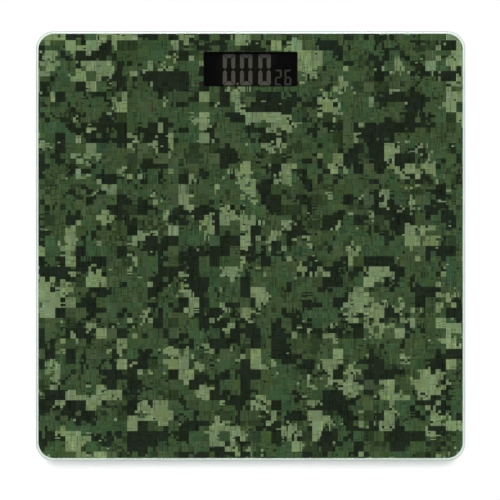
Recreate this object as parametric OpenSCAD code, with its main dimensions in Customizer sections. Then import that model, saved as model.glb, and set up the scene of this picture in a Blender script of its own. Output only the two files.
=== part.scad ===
// Digital bathroom scale: a printed tempered-glass platform that stands on four weighing feet,
// with a housing for the display, the circuit board and two cells under its rear edge.
// Millimetres. +X is right, +Y is towards the display, +Z is up.
// The origin is on the floor, under the middle of the platform.

/* [Platform] */
// Width of the glass, left to right
plate_w = 300; // [280:1:380]
// Depth of the glass, front to back
plate_d = 300; // [290:1:380]
// Thickness of the glass
glass_t = 6; // [4:0.5:10]
// Radius of the glass's corners
corner_r = 12.5; // [6:0.5:40]
// Rounding along the glass's ground edges
edge_r = 1.4; // [0.4:0.1:1.9]
// Clear border between the print and the glass's edge
print_margin = 1.5; // [1:0.1:6]
// Thickness of the printed ink film
print_t = 0.15; // [0.05:0.05:0.4]
// Thickness of the lacquer coat behind the print
coat_t = 0.15; // [0.05:0.05:0.4]
// Thickness of the foam tape that bonds everything to the glass
tape_t = 0.7; // [0.4:0.1:1.5]

/* [Display window] */
// Width of the window in the print
window_w = 66; // [50:0.5:70]
// Depth of the window in the print
window_d = 24.4; // [16:0.2:26]
// Distance from the glass's rear edge to the middle of the window
window_inset = 26.2; // [25:0.1:60]
// Black border that the housing shows inside the window
bezel_lip = 0.6; // [0.4:0.1:2]
// Height of the three main digits
digit_h = 22; // [12:0.1:22]
// Height of the two small digits
small_digit_h = 10.9; // [6:0.1:14]

/* [Feet] */
// Distance from the glass's edges to the middle of a foot
foot_inset = 33; // [30:1:60]
// Outer radius of a foot's fixed base
foot_r = 23; // [22:0.5:30]
// Wall of the foot's base and of its moving cap
foot_wall = 1.6; // [1.2:0.1:2.4]
// Radial gap between the cap and the base
foot_gap = 0.5; // [0.3:0.1:0.8]
// Travel of a foot before it meets its overload stop
foot_travel = 0.8; // [0.4:0.1:1]
// Radius of the rubber pad
pad_r = 17.3; // [14:0.1:18]
// Thickness of the rubber pad
pad_t = 2.6; // [2.2:0.1:3.4]
// Side of the square load cell
cell_side = 28; // [24:0.5:30]
// Thickness of the load cell's steel
cell_t = 1.5; // [1:0.1:2.5]

/* [Housing] */
// Width of the housing
housing_w = 128; // [126:1:160]
// Outer corner radius of the housing
housing_r = 8; // [5:0.5:12]
// Gap between the housing and the floor
ground_gap = 2.2; // [1.6:0.1:2.6]
// Thickness of the housing's walls and floor
housing_wall = 1.8; // [1.6:0.1:2.4]
// Thickness of the frame plate that is bonded to the glass
frame_t = 1.4; // [1:0.1:2]
// Thickness of the circuit board
board_t = 1.4; // [0.8:0.1:1.6]
// Height from the circuit board to the frame plate, which the display fills
display_h = 4; // [3.6:0.1:4.4]
// Travel of the unit button
button_travel = 0.5; // [0.2:0.1:0.6]

/* [Cells] */
// Diameter of a cell
battery_d = 10.2; // [10:0.1:14.5]
// Length of a cell with its nub
battery_l = 44.5; // [38:0.5:56]

/* [Cable ducts] */
// Inner width of the long ducts between the feet
duct_w = 8; // [7:0.5:12]
// Inner width of the branches into the housing
branch_w = 12; // [11.5:0.5:16]
// Diameter of an insulated wire
wire_d = 1.2; // [0.8:0.1:1.3]

/* [Hidden] */
$fn = 64;
eps = 0.01;

// Fits
slide_fit = 0.25;                         // sliding and dropped-in plastic parts
pin_fit = 0.08;                           // hinge pins in their bores
screw_fit = 0.03;                         // screw shanks in their bosses
cell_fit = 0.2;                           // over and under the cells

// Heights. The cells lie flat in the housing, and they set how high the glass stands.
cover_z = ground_gap;
floor_z = cover_z + housing_wall;         // top of the cover's floor
cell_z = floor_z + cell_fit + battery_d / 2;
frame_z = cell_z + battery_d / 2 + cell_fit;
mount_z = frame_z + frame_t;              // the plane that the housing, ducts and feet end at
tape_top = mount_z + tape_t;
coat_top = tape_top + coat_t;
glass_z = coat_top + print_t;             // underside of the glass
board_top = frame_z - display_h;
board_z = board_top - board_t;            // underside of the circuit board

// Display stack, from the frame plate down
window_y = plate_d / 2 - window_inset;
lcd_w = window_w + 8;
lcd_d = window_d + 6.6;
lcd_glass_t = 1;
segment_t = 0.1;
lcd_ledge = 3;                            // contact ledge along each long side of the front glass
lcd_rear_d = lcd_d - 2 * lcd_ledge;
zebra_w = 2.2;
lcd_front_z = frame_z - lcd_glass_t;
segment_z = lcd_front_z - segment_t;
lcd_rear_z = segment_z - lcd_glass_t;
guide_z = board_top + 0.1;                // a reflector film lies under the light guide
lcd_wall_t = 1.2;

// Circuit board and housing outline
board_w = lcd_w + 19;
board_d = lcd_d + 2 * (slide_fit + lcd_wall_t) + 0.6;
wing_w = housing_w - 8;                   // the board's wings take the load cells' wires
wing_d = 20;
board_front = window_y - board_d / 2;
board_boss = [board_w / 2 - 4, board_d / 2 - 4.2];
housing_rear = window_y + board_d / 2 + 0.9 + housing_wall;
bay_w = 2 * battery_d + 2;                // battery bay, across the two cells
contact_t = 0.4;
dimple_h = 0.8;
lead_z = frame_z - 1.4;                   // height of the leads where they leave the contact tags
spring_l = 5.9;                           // length of a spring with its cell in place
bay_l = battery_l + spring_l + 2 * contact_t + dimple_h;
bay_wall = 1.4;
hinge_gap = 9.5;                          // room for the hinge between the board and the battery bay
bay_y = board_front - hinge_gap - bay_w / 2;
cell_pitch = battery_d + 0.7;
door_lip = 2;                             // how far the door reaches past the bay
door_w = bay_l + 2 * door_lip;
hinge_r = housing_wall;
hinge_y = bay_y + bay_w / 2 + 0.2;
hinge_z = cover_z + hinge_r;
hinge_pin_r = 0.8;
ear_w = 2.8;
door_front = bay_y - bay_w / 2 - door_lip - 0.3;
front_rim = 5.5;                          // floor of the cover in front of the door
housing_front = door_front - front_rim;
housing_d = housing_rear - housing_front;
housing_y = (housing_rear + housing_front) / 2;
screw_r = 1.1;
boss_r = 3.2;
cover_boss = [housing_w / 2 - 7, housing_d / 2 - 7];

// Unit button and its switch
button_at = [-board_w / 2 + 16, window_y];
button_r = 4;
flange_t = 1;
switch_side = 6;
plunger_r = 1.7;
button_top = floor_z + 0.05 + flange_t;
switch_z = button_top + button_travel + 0.05;

// Feet
foot_x = plate_w / 2 - foot_inset;
foot_y = plate_d / 2 - foot_inset;
base_in = foot_r - foot_wall;
cap_r = base_in - foot_gap;
base_low = 6.5;
cap_low = 2;
plate_low = mount_z - foot_wall;          // underside of the base's plate
cap_high = plate_low - foot_travel - 0.2;
cell_low = plate_low - 5.2;
cell_high = cell_low + cell_t;
dome_h = 0.5;
tongue_w = 10;
tongue_tip = -4.5;
gauge_from = 3.5;
gauge_to = 9.5;
gauge_h = 1.6;
catch_z = base_low + 1;

// Cable ducts and wires
duct_wall = 1;
duct_h = 4.8;
duct_low = mount_z - duct_h;
flange_w = 2.5;
wire_pitch = wire_d + 0.4;
wire_z = duct_low + duct_wall + wire_d;
lane_from = 1.5 * wire_pitch;             // middle of each foot's three lanes, from the branch's own middle
bend_r = 5;
turn_r = 8;
branch_y = min(bay_y, foot_y - foot_r - lane_from - bend_r - 0.5);

// ---------- shapes ----------

function arc(c, r, from, to, steps) =
  [for (i = [0:steps]) c + r * [cos(from + (to - from) * i / steps), sin(from + (to - from) * i / steps)]];

// An upright block with rounded corners. The outline gives its section from a corner's axis outwards.
module rim_block(w, d, r, outline) {
  low = min([for (p = outline) p[1]]);
  high = max([for (p = outline) p[1]]);
  translate([-w / 2 + r, -d / 2 + r, low]) cube([w - 2 * r, d - 2 * r, high - low]);
  for (side = [0, 1]) {
    rotate(180 * side) translate([w / 2 - r, d / 2 - r, 0]) rotate([90, 0, 0])
      linear_extrude(d - 2 * r) polygon(outline);
    rotate(180 * side) translate([-w / 2 + r, d / 2 - r, 0]) rotate([90, 0, 90])
      linear_extrude(w - 2 * r) polygon(outline);
    rotate(180 * side) translate([w / 2 - r, d / 2 - r, 0]) rotate_extrude(angle = 90) polygon(outline);
    rotate(180 * side) translate([-w / 2 + r, d / 2 - r, 0]) rotate(90)
      rotate_extrude(angle = 90) polygon(outline);
  }
}

module rounded_slab(w, d, r, low, high) {
  rim_block(w, d, r, [[0, low], [r, low], [r, high], [0, high]]);
}

module block(w, d, low, high) {
  translate([-w / 2, -d / 2, low]) cube([w, d, high - low]);
}

module rod(r, low, high) {
  translate([0, 0, low]) cylinder(r = r, h = high - low);
}

// A solid of revolution from [radius, height] points
module turned(outline) {
  rotate_extrude() polygon(outline);
}

function unit(v) = v / norm(v);

function tube_ring(path, i, r, sides) =
  let (
    ahead = path[min(i + 1, len(path) - 1)],
    behind = path[max(i - 1, 0)],
    along = unit(ahead - behind),
    across = unit(cross([0, 0, 1], along)),
    up = cross(along, across)
  ) [for (k = [0:sides - 1]) path[i] + r * (cos(360 * k / sides) * across + sin(360 * k / sides) * up)];

// Skins rings of points that all have as many sides, and closes both ends. Each ring turns clockwise,
// seen along the path.
module skin(rings) {
  sides = len(rings[0]);
  last = len(rings) - 1;
  polyhedron(
    points = [for (ring = rings) each ring],
    faces = concat(
      [[for (k = [0:sides - 1]) k]],
      [for (i = [0:last - 1], k = [0:sides - 1])
        [i * sides + k, (i + 1) * sides + k, (i + 1) * sides + (k + 1) % sides, i * sides + (k + 1) % sides]],
      [[for (k = [sides - 1:-1:0]) last * sides + k]]
    )
  );
}

module tube(path, d, sides = 8) {
  skin([for (i = [0:len(path) - 1]) tube_ring(path, i, d / 2, sides)]);
}

// Four copies of what is placed at one corner of a rectangle
module at_corners(at) {
  for (x = [-1, 1], y = [-1, 1]) translate([x * at[0], y * at[1], 0]) children();
}

// A screw with its head down at z = 0 and its shank upwards
module screw(head_r, head_h, r, length) {
  difference() {
    union() {
      turned([[0, 0], [head_r - 0.4, 0], [head_r, 0.4], [head_r, head_h], [0, head_h]]);
      rod(r, head_h - eps, length - 0.6);
      translate([0, 0, length - 0.6 - eps]) cylinder(r1 = r, r2 = r / 2, h = 0.6);
    }
    for (turn = [0, 90]) rotate(turn) block(2 * head_r - 1.6, 0.6, -1, head_h * 0.6);
  }
}

// ---------- platform ----------

module glass_plate() {
  e = edge_r;
  color([0.80, 0.92, 0.86, 0.5]) translate([0, 0, glass_z]) rim_block(plate_w, plate_d, corner_r, concat(
    [[0, 0]],
    arc([corner_r - e, e], e, -90, 0, 6),
    arc([corner_r - e, glass_t - e], e, 0, 90, 6),
    [[0, glass_t]]
  ));
}

module film(low, high) {
  difference() {
    rounded_slab(plate_w - 2 * print_margin, plate_d - 2 * print_margin, corner_r - print_margin, low, high);
    translate([0, window_y, 0]) block(window_w, window_d, low - 1, high + 1);
  }
}

module camo_print() {
  color([0.24, 0.33, 0.19]) film(glass_z - print_t, glass_z);
}

module backing_coat() {
  color([0.86, 0.87, 0.86]) film(tape_top, glass_z - print_t);
}

// ---------- display ----------

module lcd_front_glass() {
  color([0.25, 0.24, 0.26, 0.5]) translate([0, window_y, 0]) block(lcd_w, lcd_d, lcd_front_z, frame_z);
}

// Half the outline of the top bar of a digit, w by h outside. Its corner is cut off by cut, and gap parts it
// from the side bar along a line at 45 degrees.
function end_half(w, h, t, cut, gap) = [
  [w / 2 - cut, h / 2], [w / 2 - (cut + gap) / 2, h / 2 - (cut - gap) / 2], [w / 2 - gap - t, h / 2 - t]
];

// The upper right side bar
function side_outline(w, h, t, cut, gap) = [
  [w / 2, h / 2 - cut], [w / 2 - (cut - gap) / 2, h / 2 - (cut + gap) / 2], [w / 2 - t, h / 2 - t - gap],
  [w / 2 - t, gap + t / 2], [w / 2 - t / 2, gap], [w / 2, gap + t / 2]
];

// A seven-bar digit. lit holds seven 0s or 1s: the top bar, the two on the right, the bottom one, the two on
// the left, and the middle one.
module digit(w, h, t, lit) {
  cut = t * 0.3;
  gap = t * 0.1;
  right = end_half(w, h, t, cut, gap);
  left = [for (i = [2:-1:0]) [-right[i][0], right[i][1]]];
  tip = w / 2 - t / 2 - gap;
  for (k = [[0, 0], [3, 1]]) if (lit[k[0]]) mirror([0, k[1], 0]) polygon(concat(right, left));
  for (k = [[1, 0, 0], [2, 0, 1], [4, 1, 1], [5, 1, 0]]) if (lit[k[0]])
    mirror([k[1], 0, 0]) mirror([0, k[2], 0]) polygon(side_outline(w, h, t, cut, gap));
  if (lit[6]) polygon([
    [-tip, 0], [t / 2 - tip, t / 2], [tip - t / 2, t / 2],
    [tip, 0], [tip - t / 2, -t / 2], [t / 2 - tip, -t / 2]
  ]);
}

module lcd_segments() {
  zero = [1, 1, 1, 1, 1, 1, 0];
  two = [1, 1, 0, 1, 1, 0, 1];
  six = [1, 0, 1, 1, 1, 1, 1];
  digit_w = digit_h * 0.395;
  bar_t = digit_h * 0.128;
  digit_x = [-0.685, -0.139, 0.446] * digit_h;
  point_r = digit_h * 0.041;
  point_x = -0.412 * digit_h;
  small_w = small_digit_h * 0.44;
  small_t = small_digit_h * 0.11;
  small_x = [0.885, 1.19] * digit_h;
  low_row = (small_digit_h - digit_h) / 2;
  color([0.42, 0.39, 0.36]) translate([0, window_y, segment_z]) linear_extrude(segment_t) {
    for (x = digit_x) translate([x, 0]) digit(digit_w, digit_h, bar_t, zero);
    translate([point_x, point_r - digit_h / 2]) circle(r = point_r);
    translate([small_x[0], low_row]) digit(small_w, small_digit_h, small_t, two);
    translate([small_x[1], low_row]) digit(small_w, small_digit_h, small_t, six);
  }
}

module lcd_rear_glass() {
  color([0.05, 0.05, 0.06]) translate([0, window_y, 0]) block(lcd_w, lcd_rear_d, lcd_rear_z, segment_z);
}

module backlight_panel() {
  color([0.90, 0.92, 0.92]) translate([0, window_y, 0]) block(lcd_w - 4, lcd_rear_d - 1, guide_z, lcd_rear_z);
}

module reflector_film() {
  color([0.96, 0.96, 0.96]) translate([0, window_y, 0]) block(lcd_w - 4, lcd_rear_d - 1, board_top, guide_z);
}

module backlight_led() {
  color([0.95, 0.92, 0.75]) translate([lcd_w / 2 - 1, window_y, 0])
    block(1.6, 3.2, board_top, board_top + 1.4);
}

module zebra_strips() {
  color([0.85, 0.75, 0.72]) for (side = [-1, 1])
    translate([0, window_y + side * (lcd_d - lcd_ledge) / 2, 0])
      block(lcd_w - 3, zebra_w, board_top, lcd_front_z);
}

// ---------- circuit board ----------

module circuit_board() {
  color([0.06, 0.32, 0.18]) difference() {
    union() {
      translate([0, window_y, 0]) block(board_w, board_d, board_z, board_top);
      translate([0, board_front + wing_d / 2, 0]) block(wing_w, wing_d, board_z, board_top);
    }
    translate([0, window_y, 0]) at_corners(board_boss) rod(screw_r + 0.2, board_z - 1, board_top + 1);
  }
}

module board_screws() {
  head_h = 1.2;
  length = head_h + board_t + display_h - 0.8;
  color([0.75, 0.75, 0.77]) translate([0, window_y, board_z - head_h]) at_corners(board_boss)
    screw(2, head_h, screw_r, length);
}

module chip_blob() {
  color([0.04, 0.04, 0.05]) translate([8, window_y, board_z]) mirror([0, 0, 1])
    turned(concat([[0, 0]], [[7.5, 0]], arc([6.2, 0], 1.3, 20, 90, 5), [[0, 1.3]]));
}

module quartz_crystal() {
  r = 1;
  l = 6;
  color([0.78, 0.78, 0.80]) translate([20, window_y + 8, board_z - r - 0.05]) {
    rotate([0, 90, 0]) rod(r, 0, l);
    // Its two leads, bent up to the board
    for (y = [-0.5, 0.5]) translate([l + 0.5 - eps, y, 0]) {
      block(1, 0.3, -0.15, 0.15);
      translate([0.5, 0, 0]) block(0.3, 0.3, -0.15, r + 0.05);
    }
  }
}

module electrolytic_capacitors() {
  color([0.12, 0.13, 0.20]) for (y = [-9, -1]) translate([board_w / 2 - 16, window_y + y, 0])
    rod(2.4, board_z - 3.6, board_z);
}

module chips(places, size) {
  for (p = places) translate([p[0], window_y + p[1], 0]) block(size[0], size[1], board_z - size[2], board_z);
}

module smd_resistors() {
  color([0.10, 0.10, 0.11]) chips([for (k = [0:5]) [-8 - 3 * k, -10.5]], [1.2, 2, 0.5]);
}

module smd_capacitors() {
  color([0.70, 0.58, 0.42]) chips([for (k = [0:4]) [-4 + 4.4 * k, 11.5]], [2, 1.2, 0.9]);
}

module temperature_sensor() {
  color([0.10, 0.09, 0.08]) translate([wing_w / 2 - 6, board_front + wing_d - 4, 0]) {
    translate([0, 0, board_z - 3.2]) sphere(r = 1.3);
    for (x = [-0.7, 0.7]) translate([x, 0, 0]) rod(0.25, board_z - 2.6, board_z);
  }
}

module unit_switch() {
  color([0.20, 0.20, 0.21]) translate(button_at) difference() {
    block(switch_side, switch_side, switch_z, board_z);
    rod(plunger_r + 0.1, switch_z - 1, switch_z + 2.6);
  }
}

module unit_switch_plunger() {
  color([0.85, 0.85, 0.83]) translate(button_at) rod(plunger_r, button_top, switch_z + 2);
}

module unit_button() {
  r = button_r;
  color([0.30, 0.31, 0.32]) translate(button_at)
    turned([
      [0, cover_z + 0.9], [r * 0.6, cover_z + 0.4], [r - 0.3, cover_z + 0.4], [r, cover_z + 0.7],
      [r, floor_z + 0.05], [r + 1.2, floor_z + 0.05], [r + 1.2, button_top], [0, button_top]
    ]);
}

// ---------- housing ----------

module housing_tape() {
  color([0.06, 0.06, 0.06]) difference() {
    translate([0, housing_y, 0]) rounded_slab(housing_w - 2, housing_d - 2, housing_r - 1, mount_z, tape_top);
    translate([0, bay_y, 0]) block(housing_w - 18, bay_w + 4, mount_z - 1, tape_top + 1);
    translate([0, window_y, 0]) block(window_w + 0.6, window_d + 0.6, mount_z - 1, tape_top + 1);
  }
}

module lcd_wall() {
  inner_w = lcd_w + 2 * slide_fit;
  inner_d = lcd_d + 2 * slide_fit;
  translate([0, window_y, 0]) difference() {
    block(inner_w + 2 * lcd_wall_t, inner_d + 2 * lcd_wall_t, board_top, frame_z);
    block(inner_w, inner_d, board_top - 1, frame_z + 1);
  }
}

module housing_frame() {
  color([0.10, 0.10, 0.11]) difference() {
    union() {
      translate([0, housing_y, 0]) rounded_slab(housing_w, housing_d, housing_r, frame_z, mount_z);
      lcd_wall();
      translate([0, window_y, 0]) at_corners(board_boss) rod(2.6, board_top, frame_z + eps);
      translate([0, housing_y, 0]) at_corners(cover_boss) rod(boss_r, board_z, frame_z + eps);
    }
    translate([0, window_y, 0])
      block(window_w - 2 * bezel_lip, window_d - 2 * bezel_lip, frame_z - 1, mount_z + 1);
    translate([0, window_y, 0]) at_corners(board_boss) rod(screw_r + screw_fit, board_top - 1, frame_z + 0.4);
    translate([0, housing_y, 0]) at_corners(cover_boss) rod(screw_r + screw_fit, board_z - 1, frame_z + 0.4);
  }
}

module hinge_line(r, from, to) {
  translate([from, hinge_y, hinge_z]) rotate([0, 90, 0]) cylinder(r = r, h = to - from);
}

module housing_shell() {
  r = housing_r;
  chamfer = 1.4;
  inner_r = r - housing_wall;
  translate([0, housing_y, 0]) difference() {
    rim_block(housing_w, housing_d, r,
      [[0, cover_z], [r - chamfer, cover_z], [r, cover_z + chamfer], [r, frame_z], [0, frame_z]]);
    rounded_slab(housing_w - 2 * housing_wall, housing_d - 2 * housing_wall, inner_r, floor_z, frame_z + 1);
  }
}

// The box that the two cells lie in, its ledge behind the door, and the rails that guide the cells' ends
module battery_bay() {
  translate([0, bay_y, 0]) difference() {
    union() {
      block(bay_l + 2 * bay_wall, bay_w + 2 * bay_wall, floor_z, frame_z - 0.4);
      block(door_w + 3, bay_w + 2 * door_lip + 3, floor_z, floor_z + 1.2);
    }
    block(bay_l, bay_w, cover_z, frame_z);
    // Notches that the two leads leave by
    for (row = [-1, 1]) translate([bay_l / 2, tag_y(row) - bay_y, 0])
      block(3 * bay_wall, wire_d + 0.6, lead_z - wire_d, frame_z);
  }
}

module door_opening() {
  rear = hinge_y + hinge_r + slide_fit;
  front = door_front - slide_fit;
  translate([-door_w / 2 - slide_fit, front, cover_z - 1])
    cube([door_w + 2 * slide_fit, rear - front, housing_wall + 1]);
}

// Round on the door's side, so that the door's corner turns past them
module hinge_ears() {
  near = door_w / 2 + slide_fit - ear_w;
  far = near + ear_w + 1;
  for (side = [0, 1]) mirror([side, 0, 0]) {
    hinge_line(hinge_r, near, far);
    translate([near, hinge_y, cover_z]) cube([far - near, hinge_r + slide_fit, 2 * hinge_r]);
    translate([near, hinge_y - hinge_r, hinge_z]) cube([far - near, hinge_r, hinge_r]);
  }
}

module housing_cover() {
  barrel = door_w / 2 + slide_fit - ear_w;
  counterbore = 3;
  color([0.10, 0.10, 0.11]) difference() {
    union() {
      difference() {
        union() {
          housing_shell();
          battery_bay();
          translate([0, housing_y, 0]) at_corners(cover_boss) rod(boss_r, floor_z - eps, board_z);
        }
        door_opening();
        hinge_line(hinge_r + slide_fit, -barrel, barrel);
      }
      hinge_ears();
    }
    hinge_line(hinge_pin_r + pin_fit, -barrel - ear_w + 0.2, barrel + ear_w - 0.2);
    // Screws: a sunk seat for the head, and a clear hole above it
    translate([0, housing_y, 0]) at_corners(cover_boss) {
      rod(2.4, cover_z - 1, cover_z + counterbore);
      rod(screw_r + 0.2, cover_z, board_z + 1);
    }
    // Unit button
    translate(button_at) rod(button_r + slide_fit, cover_z - 1, floor_z + 1);
    // Finger scoop in front of the door's latch
    translate([0, door_front - 0.6, cover_z - 8.2]) sphere(r = 9);
    // Wire entries from the two ducts
    for (side = [-1, 1]) translate([side * housing_w / 2, branch_y, 0])
      block(4 * housing_wall, branch_w, duct_low + duct_wall, frame_z + 1);
  }
}

module cover_screws() {
  seat = cover_z + 3;
  head_h = 1.4;
  color([0.75, 0.75, 0.77]) translate([0, housing_y, seat - head_h]) at_corners(cover_boss)
    screw(2.1, head_h, screw_r, frame_z - seat + head_h);
}

// The door turns on two pins that stand out of its barrel
module battery_door() {
  half = door_w / 2;
  barrel = half - ear_w;
  plate_rear = hinge_y - hinge_r - slide_fit;
  low = cover_z;
  high = floor_z;
  tab = 7;
  slit = 0.8;
  color([0.12, 0.12, 0.13]) difference() {
    union() {
      translate([-half, door_front, low]) cube([door_w, plate_rear - door_front, high - low]);
      translate([-barrel, door_front, low]) cube([2 * barrel, hinge_y - door_front, high - low]);
      hinge_line(hinge_r, -barrel, barrel);
      hinge_line(hinge_pin_r, -barrel - ear_w + 0.4, barrel + ear_w - 0.4);
      // Ribs that stiffen the door and press on the cells
      for (x = [-14, 0, 14]) translate([x, bay_y - 1, 0]) block(1.2, bay_w - 6, high - eps, floor_z + 0.15);
    }
    // Slits that free the latch's tab
    for (side = [-1, 1]) translate([side * (tab + slit / 2), door_front + 2.6, 0])
      block(slit, 5.4, low - 1, high + 1);
    // Grip grooves beside the latch
    for (k = [0:3]) translate([0, door_front + 5.4 + 1.6 * k, 0]) block(10, 0.8, low - 1, low + 0.5);
  }
}

// ---------- cells ----------

// A cell along X with its nub at +X, from x = 0
module cell() {
  r = battery_d / 2;
  nub = 1.2;
  rotate([0, 90, 0]) turned([
    [0, 0], [r - 0.5, 0], [r, 0.5], [r, battery_l - nub - 0.5], [r - 0.5, battery_l - nub],
    [1.9, battery_l - nub], [1.9, battery_l - 0.2], [1.7, battery_l], [0, battery_l]
  ]);
}

function cell_y(row) = bay_y + row * cell_pitch / 2;
function tag_y(row) = cell_y(row) + 2 * row;

// Which way each row's nub points: the front cell to +X, the rear cell to -X
module in_row(row) {
  translate([0, cell_y(row), cell_z]) rotate(row > 0 ? 180 : 0) children();
}

module battery(row) {
  in_row(row) translate([-bay_l / 2 + contact_t + spring_l, 0, 0]) cell();
}

module battery_front() {
  color([0.72, 0.52, 0.20]) battery(-1);
}

module battery_rear() {
  color([0.72, 0.52, 0.20]) battery(1);
}

// One double plate joins the cells at -X, and two single plates with solder tags stand at +X
module battery_plates() {
  tall = 8.4;
  low = cell_z - tall / 2;
  color([0.80, 0.80, 0.78]) {
    translate([-bay_l / 2 + contact_t / 2, bay_y, 0]) block(contact_t, cell_pitch + 8, low, low + tall);
    for (row = [-1, 1]) translate([bay_l / 2 - contact_t / 2, cell_y(row), 0]) {
      block(contact_t, 8, low, low + tall);
      translate([0, tag_y(row) - cell_y(row), 0]) block(contact_t, 2, low + tall - eps, frame_z - 0.2);
    }
    for (row = [-1, 1]) in_row(row) translate([bay_l / 2 - contact_t - dimple_h, 0, 0]) rotate([0, 90, 0])
      cylinder(r1 = 1.6, r2 = 2.4, h = dimple_h + eps);
  }
}

// A conical coil along X, wide at its plate and narrow at its cell
module battery_springs() {
  turns = 4;
  steps = 12;
  wire_r = 0.3;
  sides = 8;
  wide = 3.4;
  narrow = 2.1;
  last = turns * steps;
  color([0.78, 0.78, 0.76]) for (row = [-1, 1]) in_row(row)
    skin([for (i = [0:last])
      let (
        share = i / last,
        out = [0, cos(360 * i / steps), sin(360 * i / steps)],
        r = wide + (narrow - wide) * share,
        x = -bay_l / 2 + contact_t + wire_r + share * (spring_l - 2 * wire_r)
      ) [for (k = [0:sides - 1])
          [x, 0, 0] + out * (r + wire_r * cos(360 * k / sides)) - [wire_r * sin(360 * k / sides), 0, 0]]
    ]);
}

// From the two tags at +X to the board's front edge
function lead_end(row) = [bay_l / 2 + 6 - 2.5 * row, board_front + 3, board_z - wire_d / 2];

module battery_leads() {
  bend = 3;
  color([0.75, 0.10, 0.08]) for (row = [-1, 1]) {
    end = lead_end(row);
    turn = [end[0] - bend, tag_y(row) + bend];
    tube(concat(
      [[bay_l / 2, tag_y(row), lead_z]],
      [for (a = [-90:18:0]) [turn[0] + bend * cos(a), turn[1] + bend * sin(a), lead_z]],
      [[end[0], turn[1] + 1.5, lead_z - 0.3], [end[0], board_front - 1.5, end[2] + 0.2]],
      [[end[0], board_front, end[2]], end]
    ), wire_d);
  }
}

// ---------- cable ducts and wires ----------

// The plan of the left duct, grown by a margin: a long run between two feet, and a branch to the housing
module duct_plan(margin, low, high) {
  half = duct_w / 2 + margin;
  translate([-foot_x - half, -foot_y, low]) cube([2 * half, 2 * foot_y, high - low]);
  translate([-foot_x, branch_y - branch_w / 2 - margin, low])
    cube([foot_x - housing_w / 2, branch_w + 2 * margin, high - low]);
}

module clear_of_feet(low, high) {
  for (y = [-1, 1]) translate([-foot_x, y * foot_y, 0]) rod(foot_r + 0.1, low, high);
}

module duct() {
  difference() {
    union() {
      duct_plan(duct_wall, duct_low, mount_z);
      duct_plan(duct_wall + flange_w, mount_z - duct_wall, mount_z);
    }
    duct_plan(0, duct_low + duct_wall, mount_z + 1);
    clear_of_feet(duct_low - 1, mount_z + 1);
  }
}

module cable_duct_left() {
  color([0.10, 0.10, 0.11]) duct();
}

module cable_duct_right() {
  color([0.10, 0.10, 0.11]) mirror([1, 0, 0]) duct();
}

module duct_tapes() {
  color([0.06, 0.06, 0.06]) for (side = [0, 1]) mirror([side, 0, 0]) difference() {
    duct_plan(duct_wall + flange_w, mount_z, tape_top);
    duct_plan(0, mount_z - 1, tape_top + 1);
    clear_of_feet(mount_z - 1, tape_top + 1);
  }
}

// The route of one wire on the left side. end is -1 for the front foot and 1 for the rear one, and lane is
// -1, 0 or 1.
function wire_route(end, lane) =
  let (
    dir = -end,
    x = -foot_x + lane * wire_pitch,
    y = end * foot_y,
    turn = [-foot_x + bend_r, branch_y - dir * (lane_from + bend_r)],
    r = bend_r - lane * wire_pitch,
    drift = -dir * (lane_from + lane * wire_pitch),
    into = [-housing_w / 2 + 2, branch_y + turn_r],
    r_in = turn_r - drift,
    x_in = into[0] + r_in,
    low = board_z - wire_d / 2,
    run = [y + dir * 30, turn[1]],
    start_z = cell_high + 0.2 + wire_d / 2
  ) concat(
    [[x, y + dir * gauge_to, start_z], [x, y + dir * 13, start_z]],
    [[x, y + dir * 17, start_z + 0.2], [x, y + dir * 21, wire_z]],
    dir * (run[1] - run[0]) > 20 ? [for (i = [0:4]) [x, run[0] + (run[1] - run[0]) * i / 5, wire_z]] : [],
    [for (a = [180:-18:90]) [turn[0] + r * cos(a), turn[1] + dir * r * sin(a), wire_z]],
    [[(turn[0] + into[0]) / 2, branch_y + drift, wire_z]],
    [for (a = [-90:15:0])
      [into[0] + r_in * cos(a), into[1] + r_in * sin(a), wire_z + (low - wire_z) * (a + 90) / 90]],
    [[x_in, (into[1] + board_front) / 2 + 3, low], [x_in, board_front + 4, low]]
  );

module wires(lane) {
  for (side = [0, 1], end = [-1, 1]) mirror([side, 0, 0]) tube(wire_route(end, lane), wire_d);
}

module wires_red() {
  color([0.75, 0.10, 0.08]) wires(-1);
}

module wires_white() {
  color([0.90, 0.90, 0.88]) wires(0);
}

module wires_black() {
  color([0.08, 0.08, 0.08]) wires(1);
}

// A blob of solder at the end of each wire and lead, on the board's underside
module solder_joints() {
  r = 0.75;
  tips = concat(
    [for (side = [-1, 1], end = [-1, 1], lane = [-1, 0, 1])
      let (route = wire_route(end, lane), tip = route[len(route) - 1]) [side * tip[0], tip[1]]],
    [for (row = [-1, 1]) [lead_end(row)[0], lead_end(row)[1]]]
  );
  color([0.75, 0.76, 0.78]) for (p = tips) translate([p[0], p[1] + r, board_z]) mirror([0, 0, 1])
    turned([[0, 0], [r, 0], [r * 0.8, 0.6], [r * 0.4, 1], [0, 1]]);
}

// ---------- feet ----------

// Places a foot's piece at its corner, with the side that its wires leave by turned towards its duct
module at_foot(x, y) {
  translate([x * foot_x, y * foot_y, 0]) rotate(y > 0 ? -90 : 90) children();
}

module catches(r_in, r_out, low, high, width) {
  for (turn = [60, 180, 300]) rotate(turn) translate([(r_in + r_out) / 2, 0, 0])
    block(r_out - r_in, width, low, high);
}

module foot_base() {
  r = foot_r;
  rounding = 1;
  color([0.10, 0.10, 0.11]) difference() {
    union() {
      turned([
        [0, plate_low], [base_in, plate_low], [base_in, base_low], [r - 0.5, base_low], [r, base_low + 0.5],
        [r, mount_z - rounding], [r - rounding, mount_z], [0, mount_z]
      ]);
      rod(3.2, cell_high + dome_h, plate_low + eps);
    }
    catches(base_in - 1, r + 1, catch_z, catch_z + 3, 7);
    // Way out for the wires
    translate([r - foot_wall, 0, 0]) block(3 * foot_wall, duct_w - 1, duct_low + duct_wall, plate_low);
  }
}

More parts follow.
